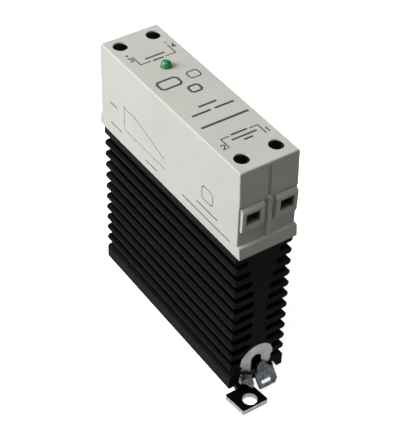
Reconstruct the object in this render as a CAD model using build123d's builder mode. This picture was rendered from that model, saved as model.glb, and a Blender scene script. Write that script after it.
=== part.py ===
"""Slim solid state relay with its own heat sink, for a 35 mm rail or a panel.

Frame: +Z points up to the label face, X is the 22.5 mm module width and Y the length.
The output terminals 1 and 2 and the rail latch are at the -Y end, which is the front.
The origin is at the bottom centre, on the plane of the two mounting ears.
All dimensions are in millimetres.
"""

from build123d import *
import os

os.makedirs("parts", exist_ok=True)

# ---------------------------------------------------------------- heights, from the ears up
total_height = 100.0
plate_thickness = 2.0
foot_bottom = 4.0
channel_ceiling = 7.4
spring_height = 12.6
sink_top = 66.1
lip_top = 70.7
parting_height = 86.7

# ---------------------------------------------------------------- heat sink
module_width = 22.5
half_width = module_width / 2
sink_length = 80.0
sink_front = -40.4
fin_pitch = 5.0
fin_gap = 2.5
fin_tip_radius = 1.1
first_gap_height = 61.1
gap_slot_length = 12.0
web_half_widths = (6.1, 5.0, 4.0, 3.15, 2.75, 2.6, 2.7, 2.75, 3.4, 6.0, 6.0)
foot_radius = 1.9
foot_inner_radius = 0.6
channel_half_width = 7.7
channel_mouth_half_width = 8.95
spring_channel_radius = 2.15
spot_face_radius = 7.0
spot_face_depth = 0.25

# ---------------------------------------------------------------- screws
small_screw_radius = 1.24
small_thread_radius = 1.25
small_clear_radius = 1.65
base_screw_y = 23.5
base_screw_depth = 9.0
base_screw_length = 8.0
base_head_radius = 2.75
base_head_height = 1.9
base_head_edge_radius = 0.7
cross_recess_depth = 1.1
base_recess_size = (2.8, 0.7)
bracket_screw_x = 4.1
front_bracket_screws = ((-bracket_screw_x, -24.5), (-bracket_screw_x, -16.5))
rear_bracket_screws = ((-bracket_screw_x, 28.0), (bracket_screw_x, 28.0))
bracket_screw_depth = 6.0
bracket_screw_length = 7.0
bracket_recess_size = (2.6, 0.6)
countersink_radius = 2.7
countersunk_head_height = 1.5
countersunk_clearance = 0.05

# ---------------------------------------------------------------- housing
side_wall = 1.2
recess_end = 40.45
base_back = 41.2
cover_front_bottom = -40.75
cover_front_top = -40.2
cover_back_bottom = 41.4
cover_back_top = 40.9
cover_edge_radius = 0.6
cover_top_wall = 1.5
floor_thickness = 1.4
lip_bottom_end = 42.15
lip_top_end = 41.8
rib_half_width = 0.75
rib_end = 41.6
block_inner_x = 2.2
block_width = 8.4
block_bottom = 77.0
block_top = 86.1
block_end = 41.9
block_lean = 0.25
block_chamfer = 1.0
groove_half_width = 0.68
groove_floor = 39.8
corner_radius = 0.4
lip_chamfer = 0.3
wall_root = 1.0
core_end_wall = 0.5
ledge_y = (-19.0, 23.0)
ledge_length = 6.0
ledge_height = 1.5
snap_pocket_y = 14.0
snap_length = 6.0
snap_nose_depth = 0.7
snap_nose_height = 0.6
tongue_thickness = 0.8
tongue_gap = 0.1
tongue_bottom = 84.7

# ---------------------------------------------------------------- terminals
terminal_x = 6.5
front_terminal_y = -34.2
back_terminal_y = 35.7
terminals = {
    1: (terminal_x, front_terminal_y),
    2: (-terminal_x, front_terminal_y),
    3: (-terminal_x, back_terminal_y),
    4: (terminal_x, back_terminal_y),
}
cell_inner_x = 2.9
cell_outer_x = half_width - side_wall
cell_floor = 78.0
front_cell = (-38.0, -30.2)
back_cell = (31.7, 39.3)
cell_wall = 1.5
cell_length = front_cell[1] - front_cell[0]
cell_width = cell_outer_x - cell_inner_x
cell_middle_x = (cell_inner_x + cell_outer_x) / 2
main_front = front_cell[1] + cell_wall
main_back = back_cell[0] - cell_wall
main_length = main_back - main_front
main_middle = (main_front + main_back) / 2
window_width = 5.2
window_height = 4.3
window_mid_height = 81.7
bar_width = 4.8
bar_thickness = 1.2
bar_bottom = 84.0
bar_end_gap = 0.4
bar_slot_gap = 0.2
output_bar_drop_y = -27.2
output_bar_foot_end = -10.0
input_bar_inner_end = 24.0
bar_bend_radius = 1.2
cage_width = 6.6
cage_depth = 6.0
cage_bottom = 78.3
cage_top = 87.7
cage_wall = 0.7
cage_corner_radius = 0.6
cage_floor_thickness = 1.0
cage_top_thickness = 2.1
clamp_screw_radius = 2.0
running_clearance = 0.05
head_radius = 3.2
head_bottom = 92.6
head_thickness = 2.0
head_chamfer = 0.35
driver_slot_width = 0.9
driver_slot_depth = 1.1
access_radius = 2.6
access_wall = 0.7
access_recess_radius = 3.4
retainer_bottom = 94.9
retainer_overlap = 0.5

# ---------------------------------------------------------------- control board and lamp
board_bottom = 82.4
board_thickness = 1.6
board_top = board_bottom + board_thickness
board_half_width = 9.3
board_front = -24.0
board_back = 29.0
lamp_x = 0.3
lamp_y = 18.2
lamp_radius = 1.85
lamp_hole_radius = 1.95
lamp_flange_radius = 2.2
lamp_flange_thickness = 1.0
lamp_flange_bottom = 95.2
lamp_dome_height = total_height + 0.55
lamp_lead_x = 0.5
lamp_lead_y = 1.0

# ---------------------------------------------------------------- parts on the control board
optocoupler_y = 5.0
optocoupler_size = (6.4, 7.1)
optocoupler_height = 3.3
optocoupler_standoff = 0.6
pin_pitch = 2.54
pin_leg_x = 3.65
pin_leg_size = (0.5, 0.6)
pin_shoulder_x = 3.4
pin_shoulder_size = (0.9, 1.2)
pin_shoulder_height = 2.0
pin_shoulder_thickness = 0.4
transistor_at = (-5.8, 15.0)
transistor_radius = 2.3
transistor_flat_y = 1.4
transistor_height = 4.6
transistor_standoff = 3.0
transistor_lead_pitch = 1.27
transistor_lead_size = 0.45
lead_radius = 0.3
lead_reach = 1.6
resistor_standoff = 0.4
input_resistor_x = (5.0, 7.9)
input_resistor_y = 12.0
input_resistor_radius = 1.15
input_resistor_length = 6.2
snubber_resistor_at = (0.2, -12.0)
snubber_resistor_radius = 1.6
snubber_resistor_length = 8.0
capacitor_at = (-5.8, -12.0)
capacitor_size = (5.0, 13.0)
capacitor_height = 9.0
capacitor_edge_radius = 0.5
varistor_left = 4.6
varistor_y = -12.0
varistor_mid_height = 5.6
varistor_radius = 4.6
varistor_thickness = 3.4
varistor_leads = ((5.6, -14.5), (7.0, -9.5))
varistor_lead_length = 3.0

# ---------------------------------------------------------------- power stage
pad_thickness = 0.3
spreader_thickness = 1.5
ceramic_thickness = 0.8
die_thickness = 0.4
die_size = 6.0
die_x = 5.0
die_y = -12.5
gate_pin_size = 0.64
gate_pin_pitch = (6.0, 10.0)
spreader_size = (17.0, 34.0)
spreader_corner_radius = 1.0
ceramic_size = (15.6, 32.0)
spreader_bottom = sink_top + pad_thickness
ceramic_bottom = spreader_bottom + spreader_thickness
die_bottom = ceramic_bottom + ceramic_thickness
die_top = die_bottom + die_thickness

# ---------------------------------------------------------------- brackets, rail and latch
ear_outline = ((-12.8, -40.4), (-11.8, -50.0), (-1.3, -50.0), (-2.4, -40.4))
ear_start = 40.4
ear_corner_radius = 0.6
ear_hole_x = 6.7
ear_hole_y = 46.6
ear_hole_radius = 2.6
neck_inner_x = 1.0
neck_outer_x = 7.4
neck_wing_x = 0.3
neck_rest_x = 3.2
neck_rest_bottom = 3.0
neck_rest_top = 5.7
flange_inner_x = 2.4
riser_y = 37.6
flange_mid = channel_ceiling - plate_thickness / 2
plate_mid = plate_thickness / 2
plate_bend_radius = 2.0
hook_riser_y = 19.0
hook_tip_y = 15.4
front_flange_end = -13.0
shelf_start = -33.5
shelf_length = 5.5
shelf_mid = 4.7
shelf_step_x = (-2.7, -1.3)
shelf_bend_radius = 1.2
latch_sheet = 1.1
latch_mid = 6.55
latch_left = 0.6
latch_right = 6.9
latch_face_y = -41.15
latch_crease = 6.2
latch_corner_radius = 0.3
latch_bend_radius = 1.2
latch_face_outline = (
    (-7.2, 4.9),
    (-7.2, 9.4),
    (-6.4, 9.4),
    (-2.6, 7.6),
    (-2.6, 5.9),
    (-0.4, 5.9),
    (-0.4, 10.4),
    (0.6, 11.7),
    (1.7, 11.7),
    (3.9, 8.9),
    (6.7, 6.0),
    (6.7, 4.9),
)
latch_slope_normal = (0, -0.77, 0.64)
latch_window = (4.2, 1.4)
latch_window_at = (2.3, -3.8)
latch_window_radius = 0.25
latch_tongue = ((-1.1, 0.4), (-1.1, -5.7), (5.2, -5.7), (6.6, -4.4), (6.6, 0.4))
latch_lobe = ((-7.2, 0.4), (-7.2, -0.8), (-5.4, -1.9), (-3.8, -4.3), (-2.6, -2.7), (-2.6, 0.4))
catch_riser_y = -18.6
catch_tip_y = -15.4
catch_mid = 2.35
spring_tab_x = 0.25
spring_tab_width = 2.4
spring_tab_top = 13.5
spring_front = -33.0
spring_back = -22.0
spring_wire_radius = 0.25
spring_mean_radius = 1.5
spring_turns = 8
spring_end_gap = 0.05
spring_stop_length = 2.0
spring_stop_clearance = 0.01


# ================================================================ heat sink
with BuildPart() as heat_sink:
    with BuildSketch(Plane.XZ.offset(-sink_front)) as sink_profile:
        with Locations((0, (sink_top + foot_bottom) / 2)):
            Rectangle(module_width, sink_top - foot_bottom)
        for index, web in enumerate(web_half_widths):
            gap_height = first_gap_height - index * fin_pitch
            gap_middle = web + gap_slot_length / 2
            with Locations((gap_middle, gap_height), (-gap_middle, gap_height)):
                SlotOverall(gap_slot_length, fin_gap, mode=Mode.SUBTRACT)
        outer_corners = [v for v in sink_profile.vertices() if abs(v.X) > half_width - 0.01]
        foot_corners = [v for v in outer_corners if v.Y < foot_bottom + 0.01]
        fin_corners = [v for v in outer_corners if foot_bottom + 0.01 < v.Y < sink_top - 0.01]
        fillet(fin_corners, radius=fin_tip_radius)
        fillet(foot_corners, radius=foot_radius)
        with BuildLine():
            Polyline(
                (-channel_mouth_half_width, foot_bottom),
                (-channel_half_width, channel_ceiling),
                (channel_half_width, channel_ceiling),
                (channel_mouth_half_width, foot_bottom),
                close=True,
            )
        make_face(mode=Mode.SUBTRACT)
        with Locations((0, spring_height)):
            Circle(spring_channel_radius, mode=Mode.SUBTRACT)
        with Locations((0, (spring_height + foot_bottom) / 2)):
            Rectangle(
                2 * spring_channel_radius,
                spring_height - foot_bottom,
                mode=Mode.SUBTRACT,
            )
        mouth_corners = [
            v
            for v in sink_profile.vertices()
            if v.Y < foot_bottom + 0.01 and abs(abs(v.X) - channel_mouth_half_width) < 0.01
        ]
        fillet(mouth_corners, radius=foot_inner_radius)
    extrude(amount=-sink_length)
    with BuildSketch(Plane.XZ.offset(-sink_front)):
        with Locations((0, spring_height)):
            Circle(spot_face_radius)
    extrude(amount=-spot_face_depth, mode=Mode.SUBTRACT)
    with Locations((0, -base_screw_y, sink_top), (0, base_screw_y, sink_top)):
        Hole(radius=small_thread_radius, depth=base_screw_depth)
    with BuildSketch(Plane.XY.offset(channel_ceiling)):
        with Locations(*front_bracket_screws, *rear_bracket_screws):
            Circle(small_thread_radius)
    extrude(amount=bracket_screw_depth, mode=Mode.SUBTRACT)
heat_sink.part.label = "heat_sink"
export_step(heat_sink.part, "parts/heat_sink.step")


# ================================================================ terminal base
with BuildPart() as terminal_base:
    with BuildSketch(Plane.XY.offset(sink_top)):
        with Locations((0, (base_back - recess_end) / 2)):
            Rectangle(module_width, base_back + recess_end)
    extrude(amount=parting_height - sink_top)
    fillet(terminal_base.edges().filter_by(Axis.Z), radius=corner_radius)
    for end in (-1, 1):
        with BuildSketch(Plane.YZ):
            with BuildLine():
                Polyline(
                    (end * (recess_end - wall_root), sink_top),
                    (end * lip_bottom_end, sink_top),
                    (end * lip_top_end, lip_top - lip_chamfer),
                    (end * (lip_top_end - lip_chamfer), lip_top),
                    (end * (recess_end - wall_root), lip_top),
                    close=True,
                )
            make_face()
        extrude(amount=half_width, both=True)
        for block_start in (block_inner_x, -block_inner_x - block_width):
            with BuildSketch(Plane.YZ.offset(block_start)):
                with BuildLine():
                    Polyline(
                        (end * (recess_end - wall_root), block_bottom),
                        (end * (block_end - block_lean), block_bottom),
                        (end * block_end, block_top - block_chamfer),
                        (end * (block_end - block_chamfer), block_top),
                        (end * (recess_end - wall_root), block_top),
                        close=True,
                    )
                make_face()
            extrude(amount=block_width)
        with BuildSketch(Plane.XY.offset(lip_top)):
            with Locations((0, end * (rib_end + recess_end - wall_root) / 2)):
                Rectangle(2 * rib_half_width, rib_end - recess_end + wall_root)
        extrude(amount=parting_height - lip_top)
    # main cavity, over the power stage
    with BuildSketch(Plane.XY.offset(sink_top + floor_thickness)):
        with Locations((0, main_middle)):
            Rectangle(2 * cell_outer_x, main_length)
    extrude(amount=total_height - sink_top, mode=Mode.SUBTRACT)
    # four terminal cells, open at the top, and the slots that let the bars into them
    for x, y in terminals.values():
        side = 1 if x > 0 else -1
        cell = front_cell if y < 0 else back_cell
        wall_middle = cell[1] + cell_wall / 2 if y < 0 else cell[0] - cell_wall / 2
        with BuildSketch(Plane.XY.offset(cell_floor)):
            with Locations((side * cell_middle_x, (cell[0] + cell[1]) / 2)):
                Rectangle(cell_width, cell_length)
        extrude(amount=total_height - cell_floor, mode=Mode.SUBTRACT)
        with BuildSketch(Plane.XY.offset(bar_bottom - bar_slot_gap)):
            with Locations((x, wall_middle)):
                Rectangle(bar_width + 2 * bar_slot_gap, cell_wall + bar_slot_gap)
        extrude(amount=total_height - bar_bottom, mode=Mode.SUBTRACT)
        # wire entry, from outside through the framed block into the cell
        entry_outside = -block_end - wall_root if y < 0 else block_end + wall_root
        with BuildSketch(Plane.XZ.offset(-entry_outside)):
            with Locations((x, window_mid_height)):
                Rectangle(window_width, window_height)
        entry_depth = abs(entry_outside - y)
        extrude(amount=-entry_depth if y < 0 else entry_depth, mode=Mode.SUBTRACT)
        # cored out below the cell, so that the wall thickness stays even
        with BuildSketch(Plane.XY.offset(sink_top)):
            with Locations((side * cell_middle_x, (cell[0] + cell[1]) / 2)):
                Rectangle(cell_width, cell_length)
        extrude(amount=cell_floor - cell_wall - sink_top, mode=Mode.SUBTRACT)
    # window in the floor for the power stage, and the two screw holes beside it
    with BuildSketch(Plane.XY.offset(sink_top)):
        Rectangle(spreader_size[0] + 0.4, spreader_size[1] + 0.4)
        with Locations((0, -base_screw_y), (0, base_screw_y)):
            Circle(small_clear_radius)
    extrude(amount=floor_thickness, mode=Mode.SUBTRACT)
    # ledges that carry the control board
    ledge_width = cell_outer_x - board_half_width + 0.5
    ledge_x = cell_outer_x + 0.1 - ledge_width / 2
    with BuildSketch(Plane.XY.offset(board_bottom - ledge_height)):
        with Locations(*[(side * ledge_x, y) for side in (-1, 1) for y in ledge_y]):
            Rectangle(ledge_width, ledge_length)
    extrude(amount=ledge_height)
    # pockets in the side walls for the snap noses of the cover
    with BuildSketch(Plane.XY.offset(tongue_bottom + 0.3)):
        with GridLocations(2 * cell_outer_x, 2 * snap_pocket_y, 2, 2):
            Rectangle(snap_nose_depth + 0.2, snap_length + 0.4)
    extrude(amount=snap_nose_height + 0.4, mode=Mode.SUBTRACT)
terminal_base.part.label = "terminal_base"
export_step(terminal_base.part, "parts/terminal_base.step")


# ================================================================ top cover
with BuildPart() as top_cover:
    with BuildSketch(Plane.YZ):
        with BuildLine():
            Polyline(
                (cover_front_bottom, parting_height),
                (cover_back_bottom, parting_height),
                (cover_back_top, total_height),
                (cover_front_top, total_height),
                close=True,
            )
        make_face()
    extrude(amount=half_width, both=True)
    corner_edges = [
        edge
        for edge in top_cover.edges()
        if edge.bounding_box().size.Z > 10 and abs(edge.center().X) > half_width - 0.01
    ]
    fillet(corner_edges, radius=corner_radius)
    fillet(top_cover.faces().sort_by(Axis.Z)[-1].edges(), radius=cover_edge_radius)
    # main cavity and the upper halves of the terminal cells
    with BuildSketch(Plane.XY.offset(parting_height)):
        with Locations((0, main_middle)):
            Rectangle(2 * cell_outer_x, main_length)
        for cell in (front_cell, back_cell):
            middle = (cell[0] + cell[1]) / 2
            with Locations((cell_middle_x, middle), (-cell_middle_x, middle)):
                Rectangle(cell_width, cell_length)
            with Locations((0, middle)):
                Rectangle(2 * (cell_inner_x - side_wall), cell[1] - cell[0] - 2 * core_end_wall)
    extrude(amount=total_height - cover_top_wall - parting_height, mode=Mode.SUBTRACT)
    # the top wall is thinner round the screwdriver holes
    with BuildSketch(Plane.XY.offset(total_height - cover_top_wall)):
        with Locations(*terminals.values()):
            Circle(access_recess_radius)
    extrude(amount=cover_top_wall - access_wall, mode=Mode.SUBTRACT)
    # ribs on two sides of each cell, which hold the head of the clamp screw down
    for x, y in terminals.values():
        cell_start = front_cell[0] if y < 0 else back_cell[0]
        cell_left = -cell_outer_x if x < 0 else cell_inner_x
        rib_length = y - head_radius + retainer_overlap - cell_start
        rib_width = x - head_radius + retainer_overlap - cell_left
        with BuildSketch(Plane.XY.offset(retainer_bottom)):
            with Locations((cell_left + cell_width / 2, cell_start + rib_length / 2)):
                Rectangle(cell_width + 0.2, rib_length)
            with Locations((cell_left + rib_width / 2, cell_start + cell_length / 2)):
                Rectangle(rib_width, cell_length)
        extrude(amount=total_height - access_wall / 2 - retainer_bottom)
    # screwdriver holes and the lamp hole
    with BuildSketch(Plane.XY.offset(total_height - 2 * cover_top_wall)):
        with Locations(*terminals.values()):
            Circle(access_radius)
        with Locations((lamp_x, lamp_y)):
            Circle(lamp_hole_radius)
    extrude(amount=3 * cover_top_wall, mode=Mode.SUBTRACT)
    # shallow groove down the middle of each end face
    for end in (-1, 1):
        with BuildSketch(Plane.XY.offset(parting_height)):
            with Locations((0, end * (groove_floor + 1))):
                Rectangle(2 * groove_half_width, 2)
        extrude(amount=total_height - cover_top_wall - parting_height, mode=Mode.SUBTRACT)
    # tongues with snap noses, which reach down inside the terminal base
    for side in (-1, 1):
        tongue_x = side * (cell_outer_x - tongue_gap - tongue_thickness / 2)
        root_width = tongue_thickness + tongue_gap + 0.2
        with BuildSketch(Plane.XY.offset(tongue_bottom)):
            with Locations((tongue_x, main_middle)):
                Rectangle(tongue_thickness, main_length - 4)
        extrude(amount=parting_height - tongue_bottom)
        with BuildSketch(Plane.XY.offset(parting_height)):
            with Locations((side * (cell_outer_x + 0.2 - root_width / 2), main_middle)):
                Rectangle(root_width, main_length - 4)
        extrude(amount=1.5)
        nose_x = side * (cell_outer_x - 0.05)
        with BuildSketch(Plane.XY.offset(tongue_bottom + 0.5)):
            with Locations((nose_x, -snap_pocket_y), (nose_x, snap_pocket_y)):
                Rectangle(snap_nose_depth, snap_length)
        extrude(amount=snap_nose_height)
top_cover.part.label = "top_cover"
export_step(top_cover.part, "parts/top_cover.step")


# ================================================================ terminals
for number, (x, y) in terminals.items():
    # rising cage: a rectangular steel loop, open along Y, with a threaded top
    with BuildPart() as clamp_cage:
        inner_bottom = cage_bottom + cage_floor_thickness
        inner_top = cage_top - cage_top_thickness
        with BuildSketch(Plane.XZ.offset(-y)):
            with Locations((x, (cage_bottom + cage_top) / 2)):
                RectangleRounded(cage_width, cage_top - cage_bottom, cage_corner_radius)
            with Locations((x, (inner_bottom + inner_top) / 2)):
                Rectangle(cage_width - 2 * cage_wall, inner_top - inner_bottom, mode=Mode.SUBTRACT)
        extrude(amount=cage_depth / 2, both=True)
        with Locations((x, y, cage_top)):
            Hole(radius=clamp_screw_radius + running_clearance, depth=cage_top_thickness + 0.2)
    clamp_cage.part.label = f"clamp_cage_{number}"
    export_step(clamp_cage.part, f"parts/clamp_cage_{number}.step")

    # captive screw: its head sits under the ribs of the cover, its tip on the contact bar
    with BuildPart() as clamp_screw:
        with BuildSketch(Plane.XY.offset(head_bottom)):
            with Locations((x, y)):
                Circle(head_radius)
        extrude(amount=head_thickness)
        chamfer(clamp_screw.faces().sort_by(Axis.Z)[-1].edges(), length=head_chamfer)
        shank_bottom = bar_bottom + bar_thickness + running_clearance
        with BuildSketch(Plane.XY.offset(shank_bottom)):
            with Locations((x, y)):
                Circle(clamp_screw_radius)
        extrude(amount=head_bottom - shank_bottom)
        with BuildSketch(Plane.XY.offset(head_bottom + head_thickness)):
            with Locations((x, y)):
                Rectangle(2 * head_radius + 1, driver_slot_width)
                Rectangle(driver_slot_width, head_radius + 0.6)
        extrude(amount=-driver_slot_depth, mode=Mode.SUBTRACT)
    clamp_screw.part.label = f"clamp_screw_{number}"
    export_step(clamp_screw.part, f"parts/clamp_screw_{number}.step")

# output bars: from the cage down to the power stage
output_bar_outer_end = front_cell[0] + bar_end_gap
bar_mid = bar_bottom + bar_thickness / 2
foot_mid = die_top + bar_thickness / 2
for bar_name, x in (("output_bar_left", -terminal_x), ("output_bar_right", terminal_x)):
    with BuildPart() as output_bar:
        with BuildSketch(Plane.YZ.offset(x)):
            with BuildLine():
                FilletPolyline(
                    (output_bar_outer_end, bar_mid),
                    (output_bar_drop_y, bar_mid),
                    (output_bar_drop_y, foot_mid),
                    (output_bar_foot_end, foot_mid),
                    radius=bar_bend_radius,
                )
            trace(line_width=bar_thickness)
        extrude(amount=bar_width / 2, both=True)
    output_bar.part.label = bar_name
    export_step(output_bar.part, f"parts/{bar_name}.step")

# input bars: from the cage onto the control board
input_bar_outer_end = back_cell[1] - bar_end_gap
for bar_name, x in (("input_bar_left", -terminal_x), ("input_bar_right", terminal_x)):
    with BuildPart() as input_bar:
        with BuildSketch(Plane.XY.offset(bar_bottom)):
            with Locations((x, (input_bar_outer_end + input_bar_inner_end) / 2)):
                Rectangle(bar_width, input_bar_outer_end - input_bar_inner_end)
        extrude(amount=bar_thickness)
        corner_edges = input_bar.edges().filter_by(Axis.Z).group_by(Axis.Y)[0]
        chamfer(corner_edges, length=bar_width / 4)
    input_bar.part.label = bar_name
    export_step(input_bar.part, f"parts/{bar_name}.step")


# ================================================================ power stage
with BuildPart() as thermal_pad:
    with BuildSketch(Plane.XY.offset(sink_top)):
        Rectangle(*spreader_size)
    extrude(amount=pad_thickness)
thermal_pad.part.label = "thermal_pad"
export_step(thermal_pad.part, "parts/thermal_pad.step")

with BuildPart() as heat_spreader:
    with BuildSketch(Plane.XY.offset(spreader_bottom)):
        RectangleRounded(*spreader_size, spreader_corner_radius)
    extrude(amount=spreader_thickness)
heat_spreader.part.label = "heat_spreader"
export_step(heat_spreader.part, "parts/heat_spreader.step")

with BuildPart() as ceramic_substrate:
    with BuildSketch(Plane.XY.offset(ceramic_bottom)):
        Rectangle(*ceramic_size)
    extrude(amount=ceramic_thickness)
ceramic_substrate.part.label = "ceramic_substrate"
export_step(ceramic_substrate.part, "parts/ceramic_substrate.step")

with BuildPart() as thyristor_dies:
    with BuildSketch(Plane.XY.offset(die_bottom)):
        with Locations((-die_x, die_y), (die_x, die_y)):
            Rectangle(die_size, die_size)
    extrude(amount=die_thickness)
thyristor_dies.part.label = "thyristor_dies"
export_step(thyristor_dies.part, "parts/thyristor_dies.step")

with BuildPart() as gate_pins:
    with BuildSketch(Plane.XY.offset(die_bottom)):
        with GridLocations(*gate_pin_pitch, 2, 2):
            Rectangle(gate_pin_size, gate_pin_size)
    extrude(amount=board_bottom - die_bottom)
gate_pins.part.label = "gate_pins"
export_step(gate_pins.part, "parts/gate_pins.step")


# ================================================================ control board
with BuildPart() as control_board:
    with BuildSketch(Plane.XY.offset(board_bottom)):
        with Locations((0, (board_front + board_back) / 2)):
            RectangleRounded(2 * board_half_width, board_back - board_front, 1.0)
    extrude(amount=board_thickness)
control_board.part.label = "control_board"
export_step(control_board.part, "parts/control_board.step")

with BuildPart() as optocoupler:
    with BuildSketch(Plane.XY.offset(board_top + optocoupler_standoff)):
        with Locations((0, optocoupler_y)):
            Rectangle(*optocoupler_size)
    extrude(amount=optocoupler_height)
    chamfer(optocoupler.faces().sort_by(Axis.Z)[-1].edges(), length=0.4)
    # three pins a side: a leg down to the board and a shoulder into the body
    for side in (-1, 1):
        pin_places = [optocoupler_y + step * pin_pitch for step in (-1, 0, 1)]
        with BuildSketch(Plane.XY.offset(board_top)):
            with Locations(*[(side * pin_leg_x, y) for y in pin_places]):
                Rectangle(*pin_leg_size)
        extrude(amount=pin_shoulder_height + pin_shoulder_thickness)
        with BuildSketch(Plane.XY.offset(board_top + pin_shoulder_height)):
            with Locations(*[(side * pin_shoulder_x, y) for y in pin_places]):
                Rectangle(*pin_shoulder_size)
        extrude(amount=pin_shoulder_thickness)
optocoupler.part.label = "optocoupler"
export_step(optocoupler.part, "parts/optocoupler.step")

with BuildPart() as limiter_transistor:
    with BuildSketch(Plane.XY.offset(board_top + transistor_standoff)):
        with Locations(transistor_at):
            Circle(transistor_radius)
            # the flat face
            with Locations((0, -transistor_flat_y - transistor_radius / 2)):
                Rectangle(2 * transistor_radius, transistor_radius, mode=Mode.SUBTRACT)
    extrude(amount=transistor_height)
    with BuildSketch(Plane.XY.offset(board_top)):
        with Locations(transistor_at):
            with GridLocations(transistor_lead_pitch, 0, 3, 1):
                Rectangle(transistor_lead_size, transistor_lead_size)
    extrude(amount=transistor_standoff)
limiter_transistor.part.label = "limiter_transistor"
export_step(limiter_transistor.part, "parts/limiter_transistor.step")


def axial_resistor(x, y, body_radius, body_length):
    """One resistor: a barrel along Y, with two leads that reach down to the board."""
    axis_height = board_top + body_radius + resistor_standoff
    lead_y = body_length / 2 + lead_reach
    with BuildPart() as resistor:
        with BuildSketch(Plane.XZ.offset(-y)):
            with Locations((x, axis_height)):
                Circle(body_radius)
        extrude(amount=body_length / 2, both=True)
        with BuildSketch(Plane.XZ.offset(-y)):
            with Locations((x, axis_height)):
                Circle(lead_radius)
        extrude(amount=lead_y, both=True)
        with BuildSketch(Plane.XY.offset(board_top)):
            with Locations((x, y - lead_y), (x, y + lead_y)):
                Circle(lead_radius)
        extrude(amount=axis_height - board_top)
    return resistor.part


resistor_pair = [
    axial_resistor(x, input_resistor_y, input_resistor_radius, input_resistor_length)
    for x in input_resistor_x
]
with BuildPart() as input_resistors:
    for one_resistor in resistor_pair:
        add(one_resistor)
input_resistors.part.label = "input_resistors"
export_step(input_resistors.part, "parts/input_resistors.step")

power_resistor = axial_resistor(
    *snubber_resistor_at, snubber_resistor_radius, snubber_resistor_length
)
with BuildPart() as snubber_resistor:
    add(power_resistor)
snubber_resistor.part.label = "snubber_resistor"
export_step(snubber_resistor.part, "parts/snubber_resistor.step")

with BuildPart() as snubber_capacitor:
    with BuildSketch(Plane.XY.offset(board_top)):
        with Locations(capacitor_at):
            Rectangle(*capacitor_size)
    extrude(amount=capacitor_height)
    fillet(snubber_capacitor.edges().filter_by(Axis.Z), radius=capacitor_edge_radius)
    top_edges = snubber_capacitor.faces().sort_by(Axis.Z)[-1].edges()
    fillet(top_edges, radius=capacitor_edge_radius - 0.1)
snubber_capacitor.part.label = "snubber_capacitor"
export_step(snubber_capacitor.part, "parts/snubber_capacitor.step")

with BuildPart() as varistor:
    with BuildSketch(Plane.YZ.offset(varistor_left)):
        with Locations((varistor_y, board_top + varistor_mid_height)):
            Circle(varistor_radius)
    extrude(amount=varistor_thickness)
    fillet(varistor.edges(), radius=1.0)
    with BuildSketch(Plane.XY.offset(board_top)):
        with Locations(*varistor_leads):
            Circle(lead_radius)
    extrude(amount=varistor_lead_length)
varistor.part.label = "varistor"
export_step(varistor.part, "parts/varistor.step")

with BuildPart() as status_led:
    with BuildSketch(Plane.XY.offset(lamp_flange_bottom)):
        with Locations((lamp_x, lamp_y)):
            Circle(lamp_flange_radius)
    extrude(amount=lamp_flange_thickness)
    with BuildSketch(Plane.XY.offset(lamp_flange_bottom)):
        with Locations((lamp_x, lamp_y)):
            Circle(lamp_radius)
    extrude(amount=lamp_dome_height - lamp_flange_bottom)
    with Locations((lamp_x, lamp_y, lamp_dome_height)):
        Sphere(lamp_radius)
    with BuildSketch(Plane.XY.offset(board_top)):
        with Locations((lamp_x, lamp_y - lamp_lead_y), (lamp_x, lamp_y + lamp_lead_y)):
            Rectangle(lamp_lead_x, lamp_lead_x)
    extrude(amount=lamp_flange_bottom - board_top)
status_led.part.label = "status_led"
export_step(status_led.part, "parts/status_led.step")


# ================================================================ housing screws
with BuildPart() as base_screws:
    floor_top = sink_top + floor_thickness
    with BuildSketch(Plane.XY.offset(floor_top)):
        with Locations((0, -base_screw_y), (0, base_screw_y)):
            Circle(base_head_radius)
    extrude(amount=base_head_height)
    fillet(base_screws.faces().group_by(Axis.Z)[-1].edges(), radius=base_head_edge_radius)
    with BuildSketch(Plane.XY.offset(floor_top)):
        with Locations((0, -base_screw_y), (0, base_screw_y)):
            Circle(small_screw_radius)
    extrude(amount=-base_screw_length)
    with BuildSketch(Plane.XY.offset(floor_top + base_head_height)):
        with Locations((0, -base_screw_y), (0, base_screw_y)):
            Rectangle(*base_recess_size)
            Rectangle(*reversed(base_recess_size))
    extrude(amount=-cross_recess_depth, mode=Mode.SUBTRACT)
base_screws.part.label = "base_screws"
export_step(base_screws.part, "parts/base_screws.step")


# ================================================================ brackets
def mounting_ear(end):
    """Ear with its panel screw hole; end is 1 at the front left and -1 at the rear right."""
    with BuildPart() as ear:
        with BuildSketch(Plane.XY) as ear_sketch:
            with BuildLine():
                Polyline([(end * x, end * y) for x, y in ear_outline], close=True)
            make_face()
            fillet(ear_sketch.vertices(), radius=ear_corner_radius)
            with Locations((-end * ear_hole_x, -end * ear_hole_y)):
                Circle(ear_hole_radius, mode=Mode.SUBTRACT)
        extrude(amount=plate_thickness)
    return ear.part


def bent_strip(x_start, width, sheet, bend_radius, points):
    """Strip of sheet that follows points in the YZ plane, from x_start over its width."""
    with BuildPart() as strip:
        with BuildSketch(Plane.YZ.offset(x_start)):
            with BuildLine():
                FilletPolyline(*points, radius=bend_radius)
            trace(line_width=sheet)
        extrude(amount=width)
    return strip.part


front_ear = mounting_ear(1)
front_neck = bent_strip(
    -neck_outer_x,
    neck_outer_x - neck_inner_x,
    plate_thickness,
    plate_bend_radius,
    [
        (-ear_start - ear_corner_radius, plate_mid),
        (-riser_y, plate_mid),
        (-riser_y, flange_mid),
        (shelf_start - 1, flange_mid),
    ],
)
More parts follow.
